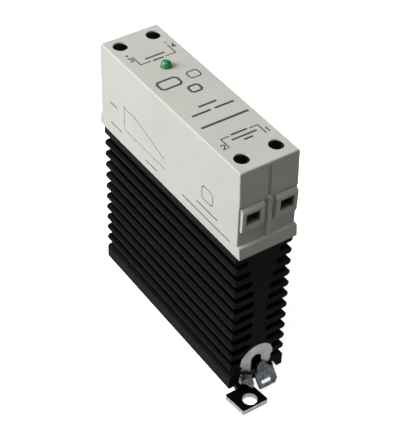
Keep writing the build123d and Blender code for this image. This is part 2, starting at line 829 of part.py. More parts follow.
# the plate is wider above the ear, where it closes the channel beside and below the latch bar
front_neck_wing = bent_strip(
    -neck_inner_x - 0.2,
    neck_inner_x + 0.2 + neck_wing_x,
    plate_thickness,
    plate_bend_radius,
    [
        (-riser_y, plate_thickness + 1.0),
        (-riser_y, flange_mid),
        (shelf_start - 1, flange_mid),
    ],
)
with BuildPart() as front_bracket:
    add(front_ear)
    add(front_neck)
    add(front_neck_wing)
    with BuildSketch(Plane.XZ.offset(riser_y)):
        with Locations(((neck_rest_x - neck_inner_x) / 2, (neck_rest_bottom + neck_rest_top) / 2)):
            Rectangle(neck_rest_x + neck_inner_x, neck_rest_top - neck_rest_bottom)
    extrude(amount=plate_thickness / 2, both=True)
    with BuildSketch(Plane.XY.offset(channel_ceiling - plate_thickness)):
        with Locations((-(neck_outer_x + flange_inner_x) / 2, (shelf_start - 2 + front_flange_end) / 2)):
            Rectangle(neck_outer_x - flange_inner_x, front_flange_end - shelf_start + 2)
    extrude(amount=plate_thickness)
    # joggled shelf that carries the latch
    with BuildSketch(Plane.XZ.offset(-shelf_start - shelf_length)):
        with BuildLine():
            FilletPolyline(
                (-neck_outer_x + 1, flange_mid),
                (shelf_step_x[0], flange_mid),
                (shelf_step_x[1], shelf_mid),
                (neck_outer_x, shelf_mid),
                radius=shelf_bend_radius,
            )
        trace(line_width=plate_thickness)
    extrude(amount=shelf_length)
    for x, y in front_bracket_screws:
        with Locations(Plane((x, y, channel_ceiling - plate_thickness), z_dir=(0, 0, -1))):
            CounterSinkHole(small_clear_radius, countersink_radius, depth=plate_thickness + 0.1)
front_bracket.part.label = "front_bracket"
export_step(front_bracket.part, "parts/front_bracket.step")

rear_ear = mounting_ear(-1)
rear_neck = bent_strip(
    neck_inner_x,
    neck_outer_x - neck_inner_x,
    plate_thickness,
    plate_bend_radius,
    [
        (ear_start + ear_corner_radius, plate_mid),
        (riser_y, plate_mid),
        (riser_y, flange_mid),
        (hook_riser_y + 8, flange_mid),
    ],
)
# wide flange and the fixed hook under the rear edge of the rail
rail_hook = bent_strip(
    -neck_outer_x,
    2 * neck_outer_x,
    plate_thickness,
    plate_bend_radius,
    [
        (riser_y - 3, flange_mid),
        (hook_riser_y, flange_mid),
        (hook_riser_y, plate_mid),
        (hook_tip_y, plate_mid),
    ],
)
with BuildPart() as rear_bracket:
    add(rear_ear)
    add(rear_neck)
    add(rail_hook)
    for x, y in rear_bracket_screws:
        with Locations(Plane((x, y, channel_ceiling - plate_thickness), z_dir=(0, 0, -1))):
            CounterSinkHole(small_clear_radius, countersink_radius, depth=plate_thickness + 0.1)
rear_bracket.part.label = "rear_bracket"
export_step(rear_bracket.part, "parts/rear_bracket.step")

with BuildPart() as bracket_screws:
    flange_bottom = channel_ceiling - plate_thickness
    head_face = flange_bottom + countersunk_clearance
    for x, y in (*front_bracket_screws, *rear_bracket_screws):
        with BuildSketch(Plane.YZ.offset(x)):
            with BuildLine():
                Polyline(
                    (y, head_face),
                    (y + countersink_radius - 2 * countersunk_clearance, head_face),
                    (y + small_screw_radius, flange_bottom + countersunk_head_height),
                    (y + small_screw_radius, flange_bottom + bracket_screw_length),
                    (y, flange_bottom + bracket_screw_length),
                    close=True,
                )
            make_face()
        revolve(axis=Axis((x, y, 0), (0, 0, 1)))
        with BuildSketch(Plane.XY.offset(flange_bottom)):
            with Locations((x, y)):
                Rectangle(*bracket_recess_size)
                Rectangle(*reversed(bracket_recess_size))
        extrude(amount=cross_recess_depth, mode=Mode.SUBTRACT)
bracket_screws.part.label = "bracket_screws"
export_step(bracket_screws.part, "parts/bracket_screws.step")


# ================================================================ rail latch
# slide bar under the channel ceiling, bent down into the catch for the rail's front edge
latch_bar = bent_strip(
    latch_left,
    latch_right - latch_left,
    latch_sheet,
    latch_bend_radius,
    [
        (latch_face_y, latch_mid),
        (catch_riser_y, latch_mid),
        (catch_riser_y, catch_mid),
        (catch_tip_y, catch_mid),
    ],
)
with BuildPart() as rail_latch:
    add(latch_bar)
    # face plate with its open slot, in front of the spring channel
    with BuildSketch(Plane.XZ.offset(-latch_face_y)) as face_plate:
        with BuildLine():
            Polyline(latch_face_outline, close=True)
        make_face()
        fillet(face_plate.vertices(), radius=latch_corner_radius)
    extrude(amount=latch_sheet / 2, both=True)
    # tongue for the screwdriver and the lobe beside it, both bent forward and down
    latch_slope = Plane(
        origin=(0, latch_face_y, latch_crease), x_dir=(1, 0, 0), z_dir=latch_slope_normal
    )
    with BuildSketch(latch_slope) as bent_plates:
        for outline in (latch_tongue, latch_lobe):
            with BuildLine():
                Polyline(outline, close=True)
            make_face()
        fillet(bent_plates.vertices(), radius=latch_corner_radius)
        with Locations(latch_window_at):
            RectangleRounded(*latch_window, latch_window_radius, mode=Mode.SUBTRACT)
    extrude(amount=latch_sheet / 2, both=True)
    # tab that stands up into the spring channel and pushes on the spring
    with BuildSketch(Plane.XY.offset(latch_mid - latch_sheet / 2)):
        with Locations((spring_tab_x, spring_back + latch_sheet / 2)):
            Rectangle(spring_tab_width, latch_sheet)
    extrude(amount=spring_tab_top - latch_mid + latch_sheet / 2)
rail_latch.part.label = "rail_latch"
export_step(rail_latch.part, "parts/rail_latch.step")

coil_start = spring_front + spring_wire_radius + spring_end_gap
coil_length = spring_back - spring_front - 2 * (spring_wire_radius + spring_end_gap)
with BuildPart() as latch_spring:
    with BuildLine() as coil:
        Helix(
            pitch=coil_length / spring_turns,
            height=coil_length,
            radius=spring_mean_radius,
            center=(0, coil_start, spring_height),
            direction=(0, 1, 0),
        )
    with BuildSketch(Plane(coil.line @ 0, z_dir=coil.line % 0)):
        Circle(spring_wire_radius)
    sweep(path=coil.line, is_frenet=True)
latch_spring.part.label = "latch_spring"
export_step(latch_spring.part, "parts/latch_spring.step")

with BuildPart() as spring_stop:
    with BuildSketch(Plane.XZ.offset(-spring_front)):
        with Locations((0, spring_height)):
            Circle(spring_channel_radius - spring_stop_clearance)
    extrude(amount=spring_stop_length)
spring_stop.part.label = "spring_stop"
export_step(spring_stop.part, "parts/spring_stop.step")
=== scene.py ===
"""Looks of the slim solid state relay: finishes, printing, floor, light and camera round the CAD frame.

Everything is in metres in the CAD frame: +Z up to the label face, X the module width, -Y the front.
Lengths that are written in millimetres are multiplied by MM.
"""

import math

import bmesh
import bpy
from mathutils import Matrix, Vector


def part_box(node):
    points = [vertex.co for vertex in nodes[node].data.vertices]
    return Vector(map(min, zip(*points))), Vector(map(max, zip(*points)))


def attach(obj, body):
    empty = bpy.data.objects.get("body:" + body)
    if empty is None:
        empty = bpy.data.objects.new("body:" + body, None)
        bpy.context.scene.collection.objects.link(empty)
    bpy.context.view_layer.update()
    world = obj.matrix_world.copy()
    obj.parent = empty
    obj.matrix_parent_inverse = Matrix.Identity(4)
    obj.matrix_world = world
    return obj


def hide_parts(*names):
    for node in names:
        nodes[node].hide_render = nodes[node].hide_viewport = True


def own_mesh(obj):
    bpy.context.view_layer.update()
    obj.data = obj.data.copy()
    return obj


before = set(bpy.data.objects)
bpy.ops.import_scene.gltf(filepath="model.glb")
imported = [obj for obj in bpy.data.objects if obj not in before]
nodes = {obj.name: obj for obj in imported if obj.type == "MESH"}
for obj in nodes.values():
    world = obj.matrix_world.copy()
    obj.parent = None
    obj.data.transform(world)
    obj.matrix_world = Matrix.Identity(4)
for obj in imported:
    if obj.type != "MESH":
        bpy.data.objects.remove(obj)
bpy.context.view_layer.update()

MM = 0.001
scene = bpy.context.scene

# ================================================================ places
# The limits that pick faces lie a little outside the faces that they take in.

# outer faces of the CAD model
sink_low, sink_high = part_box("heat_sink")
LABEL_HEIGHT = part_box("top_cover")[1].z
SIDE_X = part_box("terminal_base")[0].x

# heat sink: the round spot face at its front end, and the room between its fins
SPOT_FACE_AXIS = (0, 0, 12.6 * MM)
SPOT_FACE_RADIUS = 7.1 * MM
SPOT_FACE_LEAST_DEPTH = 0.1 * MM
FIN_FLANK_INNER_X = 2 * MM
FIN_TIP_WIDTH = 1.2 * MM
FINS_BOTTOM = 14 * MM
TOP_PLATE_THICKNESS = 3 * MM

# sheet metal: where the ears start, and the height above which the latch's face plate lies
EAR_START_Y = 40.35 * MM
LATCH_FACE_LOWEST = 5.9 * MM

# terminal cells and wire entries: X and Y from the middle of the housing, heights from the ears
TERMINAL_X = 6.5 * MM
CELL_INNER_X = 2.7 * MM
CELL_OUTER_X = 10.2 * MM
CELL_INNER_Y = 30 * MM
CELL_OUTER_Y = 39.6 * MM
CELL_FLOOR = 77.9 * MM
COVER_SKIN = 0.6 * MM
ENTRY_HEIGHT = 81.7 * MM
ENTRY_HALF_WIDTH = 2.65 * MM
ENTRY_HALF_HEIGHT = 2.2 * MM
ENTRY_INNER_Y = 37 * MM
# painted shade in the wire entries: darkest inside ENTRY_DARK_Y, fading over ENTRY_SHADE_LENGTH towards
# the mouth
ENTRY_DARK_Y = 40.2 * MM
ENTRY_SHADE_LENGTH = 1.9 * MM

# studio, in metres
FLOOR_GAP = 0.05 * MM
FLOOR_HALF = 3.0
BACKDROP_RADIUS = 2.9
BACKDROP_HEIGHT = 3.0


# ================================================================ material building blocks
class Finish:
    """One procedural material: its node tree, its Principled shader, and short ways to add nodes."""

    def __init__(self, name, roughness, metallic=0.0, **numbers):
        self.material = bpy.data.materials.new(name)
        self.material.use_nodes = True
        self.tree = self.material.node_tree
        self.shader = self.tree.nodes["Principled BSDF"]
        self.shader.inputs["Roughness"].default_value = roughness
        self.shader.inputs["Metallic"].default_value = metallic
        for socket, value in numbers.items():
            self.shader.inputs[socket.replace("_", " ")].default_value = value
        self.place = self.tree.nodes.new("ShaderNodeTexCoord").outputs["Object"]

    def link(self, output, node, socket):
        """Joins an output to the input of node that is called socket."""
        self.tree.links.new(output, node.inputs[socket])

    def spread(self, stretch, offset=(0, 0, 0)):
        """Object coordinates scaled by stretch, so that a pattern can run along one direction."""
        mapping = self.tree.nodes.new("ShaderNodeMapping")
        mapping.inputs["Location"].default_value = offset
        mapping.inputs["Scale"].default_value = stretch
        self.link(self.place, mapping, "Vector")
        return mapping.outputs["Vector"]

    def noise(self, size, stretch=(1, 1, 1), detail=2.0):
        """Noise whose spots are about size metres across."""
        node = self.tree.nodes.new("ShaderNodeTexNoise")
        node.inputs["Scale"].default_value = 1 / size
        node.inputs["Detail"].default_value = detail
        self.link(self.spread(stretch), node, "Vector")
        return node.outputs["Fac"]

    def math(self, operation, first, second):
        """Result of an operation on two values, each a number or an output."""
        node = self.tree.nodes.new("ShaderNodeMath")
        node.operation = operation
        for index, value in enumerate((first, second)):
            if isinstance(value, (int, float)):
                node.inputs[index].default_value = value
            else:
                self.tree.links.new(value, node.inputs[index])
        return node.outputs["Value"]

    def tones(self, factor, stops):
        """Colours along factor: stops are (position, linear colour)."""
        ramp = self.tree.nodes.new("ShaderNodeValToRGB")
        elements = ramp.color_ramp.elements
        while len(elements) < len(stops):
            elements.new(0.5)
        for element, (position, colour) in zip(elements, stops):
            element.position = position
            element.color = (*colour, 1)
        self.link(factor, ramp, "Fac")
        return ramp.outputs["Color"]

    def colour(self, output):
        """Gives the shader its base colour."""
        self.link(output, self.shader, "Base Color")

    def rough(self, factor, low, high):
        """Roughness from low to high as factor goes over the middle of its range."""
        node = self.tree.nodes.new("ShaderNodeMapRange")
        node.inputs["From Min"].default_value = 0.3
        node.inputs["From Max"].default_value = 0.7
        node.inputs["To Min"].default_value = low
        node.inputs["To Max"].default_value = high
        self.link(factor, node, "Value")
        self.link(node.outputs["Result"], self.shader, "Roughness")

    def bump(self, height, depth, before=None):
        """Relief of the given depth in metres, on top of an earlier bump if one is given."""
        node = self.tree.nodes.new("ShaderNodeBump")
        node.inputs["Distance"].default_value = depth
        self.link(height, node, "Height")
        if before is not None:
            self.link(before, node, "Normal")
        self.link(node.outputs["Normal"], self.shader, "Normal")
        return node.outputs["Normal"]


def between(dark, light):
    """Two stops across the middle of a noise, where most of its values are."""
    return [(0.32, dark), (0.68, light)]


# ================================================================ finishes
def moulded(name, dark, light, roughness, grain=0.18 * MM, depth=0.006 * MM, sheen=0.5):
    """Moulded plastic or resin: faint clouding of the colour and a fine spark-eroded skin."""
    finish = Finish(name, roughness, Specular_IOR_Level=sheen)
    clouds = finish.noise(22 * MM, detail=4)
    finish.colour(finish.tones(clouds, between(dark, light)))
    finish.rough(finish.noise(7 * MM, detail=3), roughness - 0.06, roughness + 0.06)
    finish.bump(finish.noise(grain, detail=3), depth)
    return finish


def plated(name, dark, light, low, high, size=3 * MM, stretch=(1, 1, 1), depth=0.004 * MM):
    """Bare or plated metal: mottled tone and gloss, with fine rolling lines along stretch."""
    finish = Finish(name, low, metallic=1.0)
    mottle = finish.noise(size, stretch, detail=5)
    finish.colour(finish.tones(mottle, between(dark, light)))
    finish.rough(finish.noise(size * 0.6, stretch, detail=4), low, high)
    finish.bump(finish.noise(size * 0.12, stretch, detail=3), depth)
    return finish


def anodised_extrusion(name, dark, light):
    """Black anodised extrusion: die lines run along Y, with a slight bloom of grey."""
    finish = Finish(name, 0.5, Specular_IOR_Level=0.01)
    lines = finish.noise(0.5 * MM, (1, 0.006, 1), detail=4)
    bloom = finish.noise(16 * MM, (1, 0.3, 1), detail=3)
    line_share = finish.math("MULTIPLY", lines, 0.55)
    bloom_share = finish.math("MULTIPLY", bloom, 0.45)
    tone = finish.math("ADD", line_share, bloom_share)
    finish.colour(finish.tones(tone, between(dark, light)))
    finish.rough(bloom, 0.42, 0.56)
    grain = finish.bump(finish.noise(0.12 * MM, detail=2), 0.003 * MM)
    finish.bump(lines, 0.012 * MM, grain)
    return finish


def turned_aluminium(centre):
    """Bare aluminium left by the spot facing tool: fine rings round the tool's axis."""
    finish = Finish("turned_aluminium", 0.3, metallic=1.0)
    rings = finish.tree.nodes.new("ShaderNodeTexWave")
    rings.wave_type = "RINGS"
    rings.rings_direction = "Y"
    rings.inputs["Scale"].default_value = 900
    rings.inputs["Distortion"].default_value = 0.4
    finish.link(finish.spread((1, 1, 1), tuple(-value for value in centre)), rings, "Vector")
    smear = finish.noise(5 * MM, detail=4)
    finish.colour(finish.tones(smear, between((0.165, 0.165, 0.165), (0.25, 0.25, 0.242))))
    finish.rough(smear, 0.28, 0.38)
    finish.bump(rings.outputs["Fac"], 0.012 * MM)
    return finish


def painted_steel():
    """Black coated steel plate with the soft orange peel of the coating."""
    finish = Finish("black_coat", 0.42, Specular_IOR_Level=0.06)
    peel = finish.noise(0.7 * MM, detail=2)
    clouds = finish.noise(6 * MM, detail=4)
    finish.colour(finish.tones(clouds, between((0.0012, 0.0012, 0.0013), (0.0036, 0.0036, 0.0038))))
    finish.rough(finish.noise(3 * MM, detail=3), 0.34, 0.5)
    finish.bump(peel, 0.012 * MM)
    return finish


def sheared_edge():
    """Cut edge of the plate: bright, with drag marks across the sheet's thickness."""
    finish = Finish("sheared_edge", 0.35, metallic=1.0)
    drag = finish.noise(0.5 * MM, (1, 1, 0.12), detail=4)
    finish.colour(finish.tones(drag, between((0.16, 0.16, 0.145), (0.34, 0.335, 0.31))))
    finish.rough(drag, 0.3, 0.5)
    finish.bump(drag, 0.02 * MM)
    return finish


def circuit_laminate():
    """Green solder mask over glass cloth, with copper tracks faintly raised under it."""
    finish = Finish("green_laminate", 0.32)
    tracks = finish.tree.nodes.new("ShaderNodeTexBrick")
    tracks.inputs["Scale"].default_value = 90
    tracks.inputs["Mortar Size"].default_value = 0.04
    tracks.inputs["Color1"].default_value = (0.010, 0.075, 0.022, 1)
    tracks.inputs["Color2"].default_value = (0.013, 0.095, 0.028, 1)
    tracks.inputs["Mortar"].default_value = (0.030, 0.180, 0.050, 1)
    finish.link(finish.spread((1, 1, 1)), tracks, "Vector")
    finish.colour(tracks.outputs["Color"])
    raised = finish.bump(tracks.outputs["Fac"], 0.02 * MM)
    finish.bump(finish.noise(0.4 * MM, detail=2), 0.004 * MM, raised)
    return finish


def banded_coat():
    """Resistor lacquer with a few colour bands round the barrel, which lies along Y."""
    finish = Finish("banded_lacquer", 0.28)
    bands = finish.tree.nodes.new("ShaderNodeTexWave")
    bands.bands_direction = "Y"
    bands.inputs["Scale"].default_value = 150
    finish.link(finish.spread((1, 1, 1)), bands, "Vector")
    lacquer = [(0.0, (0.33, 0.26, 0.15)), (0.72, (0.36, 0.28, 0.16))]
    band = [(0.78, (0.16, 0.03, 0.02)), (1.0, (0.05, 0.03, 0.02))]
    finish.colour(finish.tones(bands.outputs["Fac"], lacquer + band))
    finish.bump(finish.noise(0.5 * MM, detail=2), 0.01 * MM)
    return finish


def shaded_cell():
    """Painted shade on the housing plastic inside the terminal cells: darker the deeper it lies behind the
    wire entry.
    """
    finish = Finish("shaded_cell", 0.7, Specular_IOR_Level=0.1)
    split = finish.tree.nodes.new("ShaderNodeSeparateXYZ")
    finish.link(finish.place, split, "Vector")
    from_middle = finish.math("ABSOLUTE", split.outputs["Y"], 0.0)
    past_wall = finish.math("SUBTRACT", from_middle, ENTRY_DARK_Y)
    towards_mouth = finish.math("MULTIPLY", past_wall, 1 / ENTRY_SHADE_LENGTH)
    clouds = finish.math("MULTIPLY", finish.noise(4 * MM, detail=3), 0.12)
    depth = finish.math("ADD", towards_mouth, clouds)
    finish.colour(finish.tones(depth, [(0.0, (0.10, 0.10, 0.09)), (1.0, (0.30, 0.305, 0.28))]))
    finish.bump(finish.noise(0.18 * MM, detail=3), 0.006 * MM)
    return finish


def green_lens():
    """Tinted diffusing epoxy of an unlit lamp."""
    finish = Finish(
        "green_epoxy",
        0.34,
        Subsurface_Weight=0.25,
        Subsurface_Scale=1.2 * MM,
        Coat_Weight=0.2,
        Coat_Roughness=0.2,
    )
    finish.shader.inputs["Subsurface Radius"].default_value = (0.15, 1.0, 0.3)
    cloud = finish.noise(1.3 * MM, detail=3)
    finish.colour(finish.tones(cloud, between((0.013, 0.175, 0.052), (0.024, 0.265, 0.082))))
    return finish


def printing_ink():
    """Pad printed ink: dark grey, a little uneven where it is thin."""
    finish = Finish("printing_ink", 0.55)
    patches = finish.noise(0.5 * MM, detail=4)
    finish.colour(finish.tones(patches, between((0.018, 0.018, 0.020), (0.055, 0.055, 0.057))))
    finish.bump(finish.noise(0.12 * MM, detail=2), 0.003 * MM)
    return finish


def pale_floor():
    """Matt pale sheet with the faintest mottle."""
    finish = Finish("pale_floor", 0.75)
    mottle = finish.noise(0.25, detail=3)
    finish.colour(finish.tones(mottle, between((0.90, 0.90, 0.90), (0.93, 0.93, 0.93))))
    finish.bump(finish.noise(1.5 * MM, detail=2), 0.02 * MM)
    finish.shader.inputs["Emission Color"].default_value = (1, 1, 1, 1)
    finish.shader.inputs["Emission Strength"].default_value = 0.8
    return finish


def backdrop_paper():
    """White paper that shines by itself, so that it looks the same from every side."""
    finish = Finish("backdrop_paper", 1.0)
    mottle = finish.noise(0.25, detail=3)
    finish.colour(finish.tones(mottle, between((0.0, 0.0, 0.0), (0.002, 0.002, 0.002))))
    finish.shader.inputs["Emission Color"].default_value = (1, 1, 1, 1)
    finish.shader.inputs["Emission Strength"].default_value = 1.0
    return finish


ZINC_RELIEF = 0.002 * MM
screw_tones = ((0.26, 0.26, 0.24), (0.44, 0.43, 0.40))
# painted shade: the terminal cages get a darkened plating so that they stay dark behind the wire entries
cage_painted_shade_tones = ((0.09, 0.09, 0.085), (0.17, 0.165, 0.155))
zinc_tones = ((0.065, 0.078, 0.088), (0.17, 0.19, 0.205))
# painted reflection: a darker olive zinc for the latch's face plate
olive_painted_reflection_tones = ((0.028, 0.032, 0.027), (0.075, 0.08, 0.068))

# one finish for each material slot of the CAD frame
finishes = {
    "anodised_aluminium": anodised_extrusion(
        "anodised_black", (0.0035, 0.0037, 0.0039), (0.0095, 0.0098, 0.01)
    ),
    "housing_plastic": moulded(
        "housing_grey", (0.485, 0.495, 0.458), (0.522, 0.532, 0.495), 0.62, sheen=0.15
    ),
    "plated_steel": plated("plated_screw", *screw_tones, 0.3, 0.44, size=1.5 * MM),
    # painted shade: the cages' dark plating stands in for the shade inside the cells
    "cage_steel": plated("cage_painted_shade", *cage_painted_shade_tones, 0.34, 0.5, size=2 * MM),
    "zinc_steel": plated("zinc_plate", *zinc_tones, 0.22, 0.34, size=2 * MM, depth=ZINC_RELIEF),
    "black_steel": painted_steel(),
    "spring_steel": plated("spring_wire", (0.40, 0.39, 0.37), (0.55, 0.54, 0.52), 0.25, 0.38, size=1 * MM),
    "copper": plated("bare_copper", (0.62, 0.26, 0.14), (0.80, 0.40, 0.25), 0.28, 0.45),
    "tinned_copper": plated("tinned_copper", (0.52, 0.51, 0.48), (0.70, 0.69, 0.66), 0.24, 0.42),
    "ceramic": moulded("white_ceramic", (0.74, 0.73, 0.70), (0.82, 0.81, 0.79), 0.5, grain=0.08 * MM),
    "silicon": plated("silicon_die", (0.10, 0.10, 0.12), (0.16, 0.16, 0.19), 0.12, 0.2, size=1 * MM),
    "thermal_pad": moulded("pink_silicone", (0.44, 0.28, 0.27), (0.52, 0.34, 0.32), 0.7, grain=0.4 * MM),
    "board_laminate": circuit_laminate(),
    "black_epoxy": moulded(
        "black_epoxy", (0.012, 0.012, 0.013), (0.022, 0.022, 0.023), 0.5, grain=0.12 * MM
    ),
    "resistor_coat": banded_coat(),
    "capacitor_case": moulded("yellow_case", (0.55, 0.36, 0.05), (0.62, 0.42, 0.07), 0.4),
    "varistor_coat": moulded("blue_lacquer", (0.02, 0.07, 0.22), (0.03, 0.10, 0.30), 0.25, grain=0.6 * MM),
    "lamp_lens": green_lens(),
}

# finishes of single faces, which have no slot of their own in the frame
# painted shade: a near-black anodised tone for the gaps between the fins
painted_fin_gap_shade = anodised_extrusion(
    "fin_gaps_painted_shade", (0.0005, 0.0005, 0.0005), (0.0014, 0.0014, 0.0014)
)
bare_spot = turned_aluminium(SPOT_FACE_AXIS)
bare_edge = sheared_edge()
# painted reflection: darker olive zinc for the latch's face plate
zinc_face_painted_reflection = plated("zinc_face_painted_reflection", *olive_painted_reflection_tones, 0.26, 0.38, size=3 * MM, depth=ZINC_RELIEF)
# painted shade for the insides of the terminal cells and wire entries
cell_painted_shade = shaded_cell()
ink = printing_ink()

for node in nodes.values():
    for slot in node.material_slots:
        slot.material = finishes[slot.material.name.split(".")[0]].material


def second_finish(node, finish, belongs):
    """Gives a second finish to the faces of a CAD node for which belongs(centre, normal) is true."""
    node.data.materials.append(finish.material)
    index = len(node.data.materials) - 1
    for face in node.data.polygons:
        if belongs(face.center, face.normal):
            face.material_index = index


def on_spot_face(centre, normal):
    """Floor of the round spot face, which lies a little behind the front end of the heat sink."""
    from_axis = math.hypot(centre.x - SPOT_FACE_AXIS[0], centre.z - SPOT_FACE_AXIS[2])
    sunk = centre.y > sink_low.y + SPOT_FACE_LEAST_DEPTH
    return normal.y < -0.99 and sunk and from_axis < SPOT_FACE_RADIUS


def between_fins(centre, normal):
    """Flat flanks of the fins and the web between them, which are painted darker as shade in the gaps
    between the fins.
    """
    across = FIN_FLANK_INNER_X < abs(centre.x) < sink_high.x - FIN_TIP_WIDTH
    upright = FINS_BOTTOM < centre.z < sink_high.z - TOP_PLATE_THICKNESS
    return across and upright and abs(normal.y) < 0.5


def on_latch_face(centre, normal):
    """The upright face plate of the latch, whose darker olive tone is a painted reflection, dimmer than on
    the rest of the latch.
    """
    return abs(normal.y) > 0.95 and centre.y < sink_low.y and centre.z > LATCH_FACE_LOWEST


def on_cut_edge(centre, normal):
    """Upright cut edges of a mounting ear and its screw hole."""
    return abs(centre.y) > EAR_START_Y and abs(normal.z) < 0.3


def inside_cell(centre, normal):
    """Walls of the four terminal cells and of the wire entries that lead into them, which take the painted
    shade.
    """
    beside = CELL_INNER_X < abs(centre.x) < CELL_OUTER_X
    along = CELL_INNER_Y < abs(centre.y) < CELL_OUTER_Y
    in_cell = beside and along and CELL_FLOOR < centre.z < LABEL_HEIGHT - COVER_SKIN
    in_width = abs(abs(centre.x) - TERMINAL_X) < ENTRY_HALF_WIDTH
    in_height = abs(centre.z - ENTRY_HEIGHT) < ENTRY_HALF_HEIGHT
    in_entry = in_width and in_height and abs(centre.y) > ENTRY_INNER_Y and abs(normal.y) < 0.5
    return in_cell or in_entry


second_finish(nodes["heat_sink"], bare_spot, on_spot_face)
# painted shade on the flanks and web between the fins
second_finish(nodes["heat_sink"], painted_fin_gap_shade, between_fins)
# painted reflection on the latch's upright face plate
second_finish(nodes["rail_latch"], zinc_face_painted_reflection, on_latch_face)
for bracket in ("front_bracket", "rear_bracket"):
    second_finish(nodes[bracket], bare_edge, on_cut_edge)
# painted shade inside the terminal cells and wire entries
for half in ("terminal_base", "top_cover"):
    second_finish(nodes[half], cell_painted_shade, inside_cell)


# ================================================================ softened edges
def soften(node, width, angle=34):
    """Rounds a CAD node's edges a little and keeps its flat faces flat, all by modifiers."""
    node.data.polygons.foreach_set("use_smooth", [True] * len(node.data.polygons))
    weld = node.modifiers.new("weld", "WELD")
    weld.merge_threshold = 0.0005 * MM
    flat = node.modifiers.new("flat", "DECIMATE")
    flat.decimate_type = "DISSOLVE"
    flat.angle_limit = math.radians(0.5)
    flat.delimit = {"MATERIAL"}
    bevel = node.modifiers.new("bevel", "BEVEL")
    bevel.width = width
    bevel.segments = 2
    bevel.limit_method = "ANGLE"
    bevel.angle_limit = math.radians(angle)
    bevel.miter_outer = "MITER_ARC"
    shading = node.modifiers.new("shading", "WEIGHTED_NORMAL")
    shading.mode = "FACE_AREA"
    shading.weight = 100
    shading.keep_sharp = False


edge_widths = {
    "terminal_base": 0.12,
    "top_cover": 0.1,
    "rail_latch": 0.12,
    "front_bracket": 0.15,
    "rear_bracket": 0.15,
    "heat_sink": 0.1,
}
for name, width in edge_widths.items():
    soften(nodes[name], width * MM)


# ================================================================ latch spring
def shortening_spring():
    """A copy of the latch spring, fixed to the housing body, that stands in for the hidden CAD spring."""
    spring = nodes["latch_spring"]
    coil = bpy.data.objects.new("spring_coil", spring.data.copy())
    coil.matrix_world = spring.matrix_world
    scene.collection.objects.link(coil)
    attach(coil, "housing")
    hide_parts("latch_spring")
    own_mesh(coil)


shortening_spring()


# ================================================================ new objects
def object_from(name, mesh, finish):
    """Turns a bmesh into an object with one finish."""
    data = bpy.data.meshes.new(name)
    mesh.to_mesh(data)
    mesh.free()
    piece = bpy.data.objects.new(name, data)
    scene.collection.objects.link(piece)
    data.materials.append(finish.material)
    return piece


# ================================================================ printing
INK_HEIGHT = 0.02 * MM

GLYPHS = {
    "1": [[(0.08, 0.78), (0.32, 1.0), (0.32, 0.0)]],
    "2": [
        [(0.02, 0.78), (0.14, 0.95), (0.33, 1.0), (0.52, 0.94)]
        + [(0.6, 0.76), (0.53, 0.57), (0.0, 0.0), (0.62, 0.0)],
    ],
    "3": [
        [(0.02, 0.84), (0.16, 0.98), (0.4, 1.0), (0.57, 0.86), (0.54, 0.64), (0.3, 0.54)],
        [(0.3, 0.54), (0.57, 0.43), (0.6, 0.18), (0.43, 0.02), (0.17, 0.0), (0.0, 0.15)],
    ],
    "4": [[(0.46, 0.0), (0.46, 1.0), (0.0, 0.3), (0.64, 0.3)]],
    "plus": [[(0.0, 0.5), (0.6, 0.5)], [(0.3, 0.2), (0.3, 0.8)]],
    "minus": [[(0.0, 0.5), (0.6, 0.5)]],
}


def on_label(across, along, height):
    """Place on the label face: across is X and along is Y, in millimetres."""
    return Vector((across * MM, along * MM, LABEL_HEIGHT + height))


def on_left_side(along, up, height):
    """Place on the left side of the housing: along is Y and up is Z, in millimetres."""
    return Vector((SIDE_X - height, along * MM, up * MM))


def stroke(mesh, place, points, width, closed=False):
    """One printed line of ink with mitred corners, as a thin closed strip."""
    points = [Vector(point) for point in points]
    count = len(points)
    rings = []
    for index, point in enumerate(points):
        sides = []
        if closed or index > 0:
            sides.append((point - points[index - 1]).normalized())
        if closed or index < count - 1:
            sides.append((points[(index + 1) % count] - point).normalized())
        normals = [Vector((-side.y, side.x)) for side in sides]
        offset = normals[0]
        if len(normals) == 2:
            offset = (normals[0] + normals[1]) / (1 + normals[0].dot(normals[1]))
        offset = offset * width / 2
        upper = [(offset, INK_HEIGHT), (-offset, INK_HEIGHT)]
        lower = [(-offset, -INK_HEIGHT), (offset, -INK_HEIGHT)]
        corners = [place(*(point + shift), height) for shift, height in upper + lower]
        rings.append([mesh.verts.new(corner) for corner in corners])
    pairs = list(zip(rings, rings[1:]))
    if closed:
        pairs.append((rings[-1], rings[0]))
    for first, second in pairs:
        for corner in range(4):
            following = (corner + 1) % 4
            mesh.faces.new((first[corner], first[following], second[following], second[corner]))
    if not closed:
        mesh.faces.new(rings[0])
        mesh.faces.new(list(reversed(rings[-1])))


def printed(name, place, strokes):
    """One piece of printing. strokes are (points, width, closed)."""
    mesh = bmesh.new()
    for points, width, closed in strokes:
        stroke(mesh, place, points, width, closed)
    bmesh.ops.recalc_face_normals(mesh, faces=mesh.faces)
    piece = object_from(name, mesh, ink)
    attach(piece, "housing")


def glyph(sign, corner, size, weight):
    """Strokes of one sign whose lower left corner is at corner."""
    return [
        ([(corner[0] + x * size, corner[1] + y * size) for x, y in line], weight, False)
        for line in GLYPHS[sign]
    ]


def bar(start, end, weight):
    """A plain bar that stands in for a line of text."""
    return ([start, end], weight, False)


def frame_outline(centre, width, height, weight, corner):
    """A blank frame with cut corners that stands in for a mark."""
    x, y = centre
    left, right = x - width / 2, x + width / 2
    bottom, top = y - height / 2, y + height / 2
    points = [
        (left + corner, bottom),
        (right - corner, bottom),
        (right, bottom + corner),
        (right, top - corner),
        (right - corner, top),
        (left + corner, top),
        (left, top - corner),
        (left, bottom + corner),
    ]
    return (points, weight, True)


